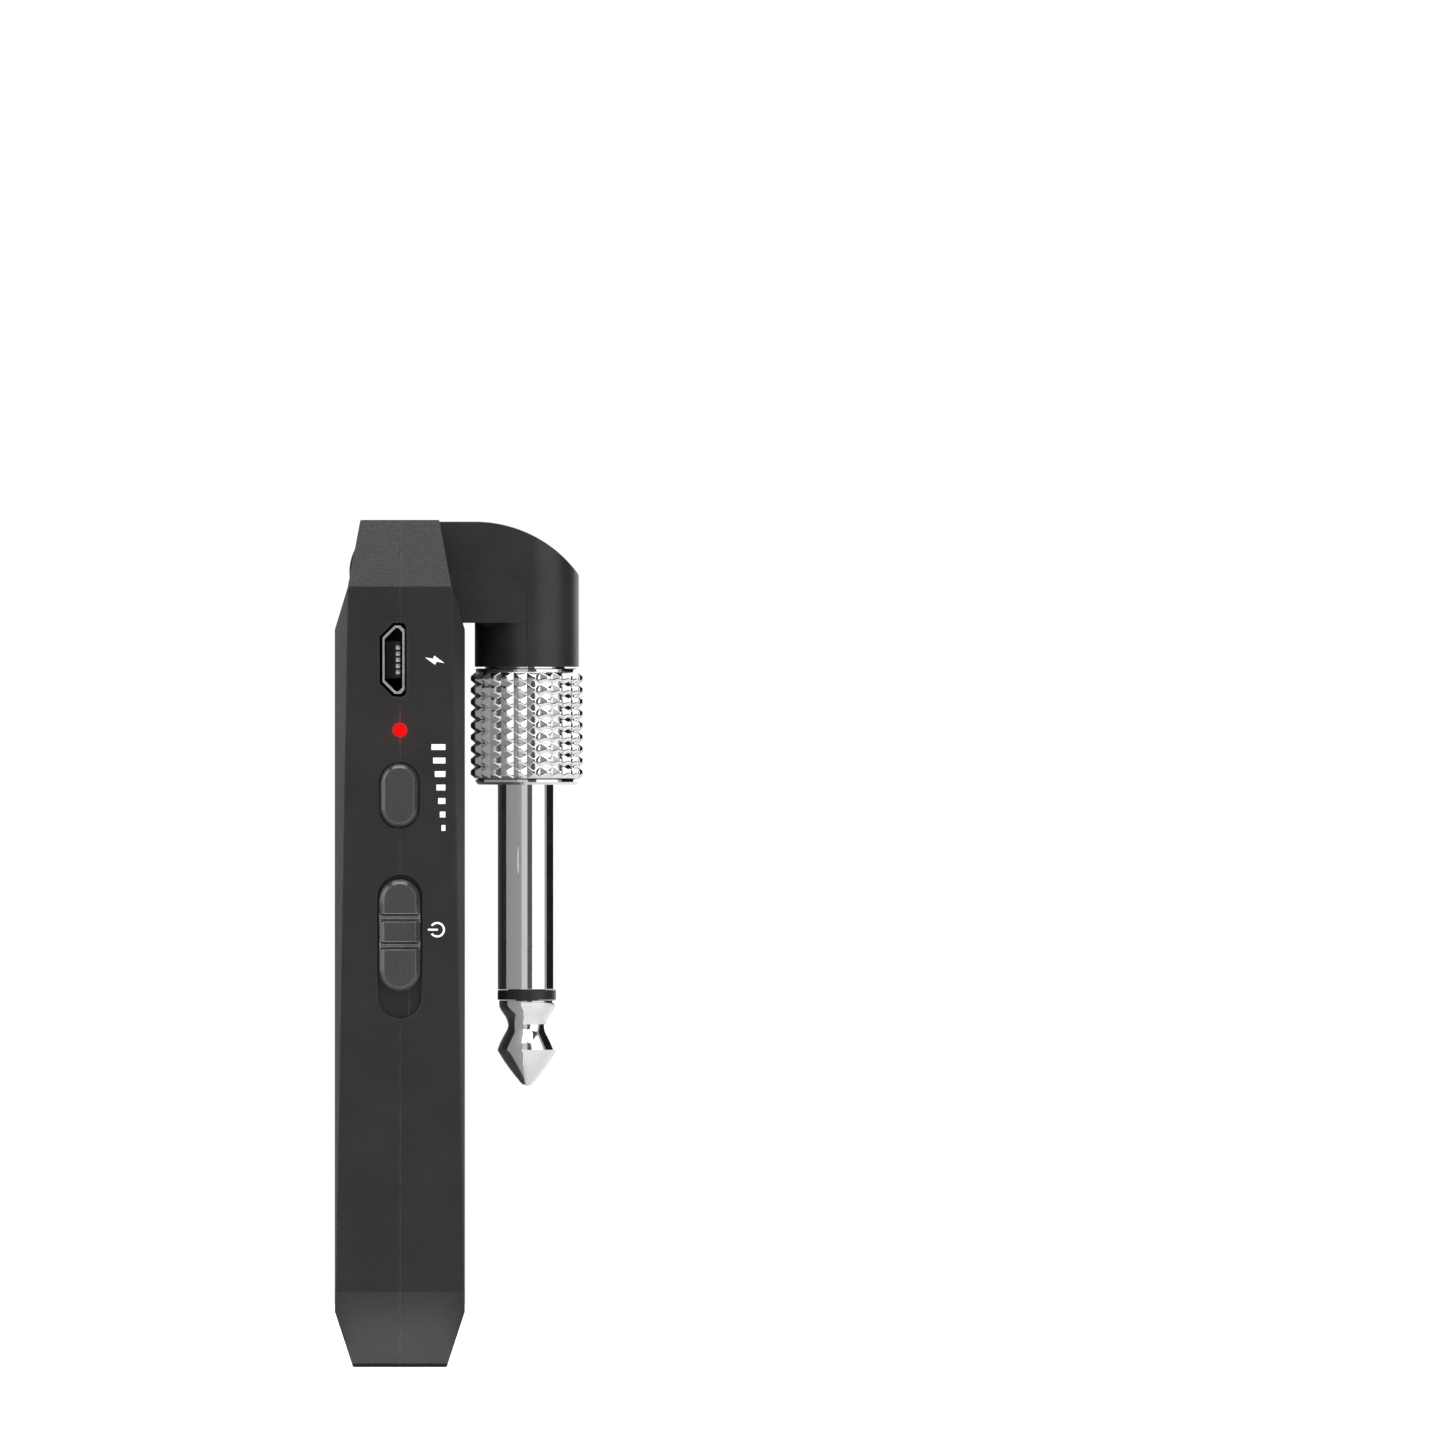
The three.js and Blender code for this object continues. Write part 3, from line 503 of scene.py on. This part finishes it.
def lathe(name, profile, slot, replaced=()):
    """A closed solid turned round the plug's axis, riding on the arm. The profile is (radius, height) points
    in metres, from the axis to the axis, or a ring that isn't closed at its last point."""
    bm = bmesh.new()
    rings = []
    for r, z in profile:
        count = TURNED_SIDES if r > 0 else 1
        angles = [2 * math.pi * i / TURNED_SIDES for i in range(count)]
        rings.append([bm.verts.new((PLUG_X + r * math.cos(a), r * math.sin(a), z)) for a in angles])
    pairs = list(zip(rings, rings[1:]))
    if profile[0][0] > 0:
        pairs.append((rings[-1], rings[0]))
    for low, high in pairs:
        for i in range(TURNED_SIDES):
            j = (i + 1) % TURNED_SIDES
            corners = [low[i % len(low)], low[j % len(low)], high[j % len(high)], high[i % len(high)]]
            bm.faces.new(list(dict.fromkeys(corners)))
    bmesh.ops.recalc_face_normals(bm, faces=bm.faces)
    shade(bm, 24)
    weigh_normals(slot_piece(name, to_mesh(bm, name), slot, "plug_arm", replaced))


# ---- Plug ----


def arc_points(a, control, b, count):
    """Points along a quadratic curve from a to b, leaving out a."""

    def at(t):
        return tuple((1 - t) ** 2 * p + 2 * t * (1 - t) * q + t * t * r for p, q, r in zip(a, control, b))

    return [at(i / count) for i in range(1, count + 1)]


def plug_sleeve():
    """The pin, with its wider base inside the collar and the barrel."""
    low, high = SLEEVE_LOW.z, SLEEVE_HIGH.z
    base_r = (SLEEVE_HIGH.x - SLEEVE_LOW.x) / 2
    bore = 2.1 * MM
    step = BARREL_MOUTH - 8.4 * MM
    edge = 0.08 * MM
    profile = [
        (bore, low),
        (PIN_R - edge, low),
        *arc_points((PIN_R - edge, low), (PIN_R, low), (PIN_R, low + edge), 3),
        (PIN_R, step),
        (base_r, step),
        (base_r, high),
        (bore, high),
    ]
    lathe("plug_sleeve_turned", profile, "plated_metal", ["plug_sleeve"])


def insulator_ring():
    """The black ring between the sleeve and the tip, with its narrower collar above it."""
    bore, step = 1.3 * MM, 2.0 * MM
    shelf = RING_LOW.z + 1.06 * MM
    edge = 0.05 * MM
    profile = [
        (bore, RING_LOW.z),
        (PIN_R - edge, RING_LOW.z),
        (PIN_R, RING_LOW.z + edge),
        (PIN_R, shelf - edge),
        (PIN_R - edge, shelf),
        (step, shelf),
        (step, RING_HIGH.z),
        (bore, RING_HIGH.z),
    ]
    lathe("insulator_ring_turned", profile, "insulator_black", ["plug_insulator_ring"])


def plug_tip():
    """The tip's land, its hollow waist with a crease above it, its flare and its blunt cone."""
    widest = (TIP_HIGH.x - TIP_LOW.x) / 2

    def point(radius, depth):
        return (radius * MM, TIP_HIGH.z - depth * MM)

    land = point(3.0, 0.5)
    above = point(2.47, 1.55)
    crease = point(2.05, 2.43)
    below = point(2.35, 3.5)
    ridge = (widest, TIP_HIGH.z - 5.32 * MM)
    rim = point(3.15, 5.42)
    blunt = point(0.8, 8.73)
    end = (0, TIP_LOW.z)
    profile = [
        point(0, 3),
        point(1.25, 3),
        point(1.25, 0),
        point(2.95, 0),
        point(3.0, 0.05),
        land,
        *arc_points(land, point(2.93, 0.95), above, 6),
        *arc_points(above, point(2.15, 1.98), crease, 6),
        *arc_points(crease, point(1.95, 2.85), below, 8),
        *arc_points(below, point(2.95, 4.55), ridge, 10),
        rim,
        *arc_points(rim, point(2.3, 7.0), blunt, 12),
        *arc_points(blunt, point(0.5, 9.2), end, 6),
    ]
    lathe("plug_tip_turned", profile, "plated_metal", ["plug_tip"])


STUD_COLUMNS, STUD_ROWS = 24, 9
STUD_BASE_R = STUD_R - 0.52 * MM
STUD_PITCH = 1.272 * MM
STUDS_LOW = COLLAR_LOW.z + 0.66 * MM
STUD_SLOPE = (0.39, 0.33)  # the shares of a stud's width and height that each slope takes


def stud_corner(bm, column, row, radius):
    """A corner of the stud pattern. Whole numbers are grooves, counted round the collar and up it."""
    angle = column * 2 * math.pi / STUD_COLUMNS
    x, y = radius * math.sin(angle), -radius * math.cos(angle)
    return bm.verts.new((PLUG_X + x, y, STUDS_LOW + row * STUD_PITCH))


def stud(bm, grooves, column, row):
    """One pyramid with a flat top, between the grooves' corners."""
    around, up = STUD_SLOPE
    next_column = (column + 1) % STUD_COLUMNS
    foot = [
        grooves[column, row],
        grooves[next_column, row],
        grooves[next_column, row + 1],
        grooves[column, row + 1],
    ]
    spots = [(around, up), (1 - around, up), (1 - around, 1 - up), (around, 1 - up)]
    top = [stud_corner(bm, column + a, row + b, STUD_R) for a, b in spots]
    bm.faces.new(top)
    for i in range(4):
        j = (i + 1) % 4
        bm.faces.new([foot[i], foot[j], top[j], top[i]])


def cap_ends(bm):
    """Closes the stud skin's two open ends down to the collar's core."""
    core = STUD_BASE_R - 0.8 * MM
    open_edges = [e for e in bm.edges if len(e.link_faces) == 1]
    made = bmesh.ops.extrude_edge_only(bm, edges=open_edges)["geom"]
    for vert in [g for g in made if isinstance(g, bmesh.types.BMVert)]:
        outward = Vector((vert.co.x - PLUG_X, vert.co.y)).normalized()
        vert.co.x = PLUG_X + outward.x * core
        vert.co.y = outward.y * core
    bmesh.ops.recalc_face_normals(bm, faces=bm.faces)


def stud_band():
    """Rows of flat-topped pyramids, side by side round the collar, with slightly rounded edges."""
    bm = bmesh.new()
    grooves = {
        (column, row): stud_corner(bm, column, row, STUD_BASE_R)
        for column in range(STUD_COLUMNS)
        for row in range(STUD_ROWS + 1)
    }
    for column in range(STUD_COLUMNS):
        for row in range(STUD_ROWS):
            stud(bm, grooves, column, row)
    cap_ends(bm)
    ridges = [e for e in bm.edges if e.is_convex and len(e.link_faces) == 2]
    bmesh.ops.bevel(bm, geom=ridges, offset=0.045 * MM, segments=2, profile=0.5, affect="EDGES")
    shade(bm)
    mesh = to_mesh(bm, "collar_studs")
    weigh_normals(slot_piece("collar_studs", mesh, "plated_metal", "plug_arm", ["knurled_collar"]))


def collar_rims():
    """The collar's plain ring under the barrel and its chamfered rim below the studs."""
    bore = PIN_R + 0.07 * MM
    base_bore = 4.57 * MM
    low, high = COLLAR_LOW.z, COLLAR_HIGH.z
    rim_r = 5.52 * MM
    core = STUD_BASE_R - 0.3 * MM
    studs_top = STUDS_LOW + STUD_ROWS * STUD_PITCH
    shelf = BARREL_MOUTH - 8.6 * MM
    profile = [
        (bore, low),
        (rim_r - 0.32 * MM, low),
        (rim_r, low + 0.28 * MM),
        (rim_r, STUDS_LOW - 0.12 * MM),
        (rim_r - 0.3 * MM, STUDS_LOW),
        (core, STUDS_LOW + 0.2 * MM),
        (core, studs_top - 0.2 * MM),
        (rim_r - 0.1 * MM, studs_top),
        (rim_r, studs_top + 0.08 * MM),
        (rim_r, high - 0.1 * MM),
        (rim_r - 0.1 * MM, high),
        (base_bore, high),
        (base_bore, shelf),
        (bore, shelf),
    ]
    lathe("collar_rims", profile, "plated_metal")


def barrel_liner():
    """A thin black sleeve inside the barrel, so that no bright metal shows through the parting line."""
    low, high = BARREL_MOUTH + 0.1 * MM, SLEEVE_HIGH.z
    inner, outer = 4.51 * MM, 4.56 * MM
    profile = [(inner, low), (outer, low), (outer, high), (inner, high)]
    lathe("barrel_liner", profile, "insulator_black")


# ---- Charging socket's contacts ----


def usb_contacts():
    """Five plated contacts that lie along the tongue's side and turn over its front edge."""
    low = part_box("usb_contact_tongue")[0]
    front = [v.co for v in NODES["usb_contact_tongue"].data.vertices if v.co.y < low.y + 0.1 * MM]
    right = max(p.x for p in front)
    centre = sum(p.z for p in front) / len(front)
    skin, pitch, tall = 0.04 * MM, 0.66 * MM, 0.42 * MM
    across, along = (right - 0.43 * MM, right + skin), (low.y - skin, low.y + 3 * MM)
    bm = bmesh.new()
    for step in range(-2, 3):
        z = centre + step * pitch
        ends = (z - tall / 2, z + tall / 2)
        corners = [bm.verts.new((x, y, end)) for x in across for y in along for end in ends]
        bmesh.ops.convex_hull(bm, input=corners)
    bmesh.ops.bevel(bm, geom=bm.edges[:], offset=0.03 * MM, segments=2, affect="EDGES", profile=0.5)
    shade(bm)
    mesh = to_mesh(bm, "usb_contacts")
    weigh_normals(slot_piece("usb_contacts", mesh, "steel", "housing"))


# ---- Printed marks ----

INK = 0.012 * MM


def plate(bm, points):
    """A flat printed shape in X and Z, a thin ink's depth proud of the side that holds the controls."""
    back = [bm.verts.new((x, SIDE_Y + INK, z)) for x, z in points]
    front = [bm.verts.new((x, SIDE_Y - INK, z)) for x, z in points]
    bm.faces.new(back)
    bm.faces.new(front)
    for i in range(len(points)):
        j = (i + 1) % len(points)
        bm.faces.new([back[i], back[j], front[j], front[i]])


def rectangle(left, low, right, high):
    return [(left, low), (right, low), (right, high), (left, high)]


def print_mark(name, shapes):
    """A white mark on the case, of flat shapes."""
    bm = bmesh.new()
    for points in shapes:
        plate(bm, points)
    bmesh.ops.recalc_face_normals(bm, faces=bm.faces)
    new_piece(name, to_mesh(bm, name), INK_WHITE_PAINTED_GLOW, "housing")


def charge_mark():
    """A plain charging bolt beside the socket, lying on its side."""
    x, z = 3.75 * MM, SOCKET.z - 0.05 * MM
    half = [(-1.05, 0.31), (-0.19, 0.15), (-0.05, 0.5)]
    bolt = half + [(-a, -b) for a, b in half]
    print_mark("charge_mark", [[(x + a * MM, z + b * MM) for a, b in bolt]])


def level_mark():
    """Seven plain bars that grow in steps, beside the channel button."""
    base_x, pitch, thick = 4.9 * MM, 1.45 * MM, 0.62 * MM
    bars = []
    for step in range(7):
        z = BUTTON.z + (step - 3) * pitch + 0.85 * MM
        reach = (0.42 + 0.18 * step) * MM
        bars.append(rectangle(base_x - reach, z - thick / 2, base_x, z + thick / 2))
    print_mark("level_mark", bars)


def power_mark():
    """The usual power sign, turned a quarter to the left: an open ring and a bar in its gap."""
    x, z = 4.02 * MM, KNOB.z + 0.62 * MM
    outer, stroke, gap = 0.83 * MM, 0.21 * MM, math.radians(36)
    angles = [math.pi + gap + (2 * math.pi - 2 * gap) * i / 40 for i in range(41)]
    ring = [
        [
            (x + r * math.cos(t), z + r * math.sin(t))
            for r, t in ((outer - stroke, a), (outer, a), (outer, b), (outer - stroke, b))
        ]
        for a, b in zip(angles, angles[1:])
    ]
    bar = rectangle(x - 1.0 * MM, z - stroke / 2, x + 0.08 * MM, z + stroke / 2)
    print_mark("power_mark", [*ring, bar])


# ---- Stage ----

FRAME_WIDTH = 155.4 * MM  # what the picture spans at the face that holds the controls
LENS, SENSOR = 1200.0, 36.0
AIM = Vector((34.7 * MM, SIDE_Y, 69.4 * MM))  # the middle of the picture


def camera():
    """Looks straight at the side with the controls, turned a little to put the case left of the middle."""
    data = bpy.data.cameras.new("camera")
    data.lens, data.sensor_width = LENS, SENSOR
    data.clip_start, data.clip_end = 0.1, 20
    eye = bpy.data.objects.new("camera", data)
    eye.location = (0, SIDE_Y - FRAME_WIDTH * LENS / SENSOR, AIM.z)
    eye.rotation_euler = (AIM - eye.location).to_track_quat("-Z", "Y").to_euler()
    bpy.context.scene.collection.objects.link(eye)
    bpy.context.scene.camera = eye


def floor():
    """A pale table top that glows: white to the camera, and faintly as a light on the object."""
    bm = bmesh.new()
    bmesh.ops.create_circle(bm, cap_ends=True, radius=0.55, segments=96)
    mesh = to_mesh(bm, "floor")
    material, tree, shader = new_material("floor", Roughness=0.6, Emission_Color=(1, 1, 1, 1))
    seen = add(tree, "LightPath").outputs["Is Camera Ray"]
    feed(tree, shader, Emission_Strength=ranged(tree, seen, (0, 1), (0.22, 1.0)))
    pale = noise(tree, 40 * MM)
    feed(tree, shader, Base_Color=blend_colours(tree, pale, (0.6, 0.6, 0.6), (0.64, 0.64, 0.64)))
    mesh.materials.append(material)
    top = bpy.data.objects.new("floor", mesh)
    top.location.z = CASE_FOOT
    bpy.context.scene.collection.objects.link(top)


def area_lamp(name, size, radiance, location, rotation=(0, 0, 0)):
    """A flat lamp that the camera doesn't see. When it isn't turned, it faces straight down."""
    data = bpy.data.lights.new(name, "AREA")
    data.shape, data.size, data.size_y = "RECTANGLE", *size
    data.energy = radiance * math.pi * size[0] * size[1]
    lamp = bpy.data.objects.new(name, data)
    lamp.location, lamp.rotation_euler = location, rotation
    lamp.visible_camera = False
    bpy.context.scene.collection.objects.link(lamp)


# Each lamp panel's span of azimuth, with 0 towards the camera and 90 towards +X, and its radiance.
PANELS = [
    ("front", (-20, 3), 0.64),
    ("front_fill", (3, 21), 0.085),
    ("right_front", (22, 74), 1.4),
    ("right_fading", (74, 85), 0.35),
    ("right_back", (130, 175), 1.35),
    ("left_back", (185, 230), 1.2),
    ("left", (250, 300), 2.1),
    ("left_front", (300, 340), 0.3),
]
PANEL_DISTANCE, PANEL_HEIGHT = 0.9, 1.1


def panel(name, azimuths, radiance):
    """An upright lamp on the floor that spans two azimuths."""
    low, high = (math.radians(a) for a in azimuths)
    middle, half = (low + high) / 2, (high - low) / 2
    size = (2 * PANEL_DISTANCE * math.tan(half), PANEL_HEIGHT)
    x, y = PANEL_DISTANCE * math.sin(middle), -PANEL_DISTANCE * math.cos(middle)
    area_lamp(name, size, radiance, (x, y, PANEL_HEIGHT / 2), (math.radians(90), 0, middle))


def cards():
    """Two small lit cards: one under the case's foot, and one between the case and the plug."""
    under_foot = (0, -14.2 * MM, 0.4 * MM)
    area_lamp("foot_card", (12 * MM, 6 * MM), 1.2, under_foot, (math.radians(180), 0, 0))
    beside_plug = (CASE_SIDE + 0.3 * MM, -8.6 * MM, 39 * MM)
    area_lamp("plug_card", (70 * MM, 12.6 * MM), 0.27, beside_plug, (0, math.radians(-90), 0))


def studio():
    """A dim room that the camera sees as white, with soft lamps round and over the object."""
    world = bpy.data.worlds.new("studio")
    world.use_nodes = True
    tree = world.node_tree
    background = tree.nodes["Background"]
    seen = add(tree, "LightPath").outputs["Is Camera Ray"]
    tree.links.new(ranged(tree, seen, (0, 1), (0.012, 1.0)), background.inputs["Strength"])
    background.inputs["Color"].default_value = (1, 1, 1, 1)
    bpy.context.scene.world = world
    for name, azimuths, radiance in PANELS:
        panel(name, azimuths, radiance)
    area_lamp("overhead", (1.0, 1.0), 3.5, (0, -0.45, 1.12))


def status_glow():
    """The light's own glow on the case round it."""
    data = bpy.data.lights.new("status_glow", "POINT")
    data.color, data.energy, data.shadow_soft_size = (1, 0.01, 0.01), 0.0003, 0.3 * MM
    lamp = bpy.data.objects.new("status_glow", data)
    lamp.location = (LIGHT.x, SIDE_Y - 0.8 * MM, LIGHT.z)
    lamp.visible_glossy = False
    bpy.context.scene.collection.objects.link(lamp)


# ---- The whole ----

camera()
dress_cad_nodes()
soften("left_shell", ["right_shell"], 0.12 * MM)
soften("right_shell", ["left_shell"], 0.12 * MM)
soften("arm_outer_shell", ["arm_inner_shell"], 0.1 * MM)
soften("arm_inner_shell", ["arm_outer_shell"], 0.1 * MM)
soften("channel_button", [], 0.08 * MM)
soften("power_slider_knob", [], 0.05 * MM)
soften("usb_socket_shell", [], 0.06 * MM)
plug_sleeve()
insulator_ring()
plug_tip()
stud_band()
collar_rims()
barrel_liner()
usb_contacts()
charge_mark()
level_mark()
power_mark()
floor()
studio()
cards()
status_glow()
bpy.context.scene.view_settings.view_transform = "Standard"
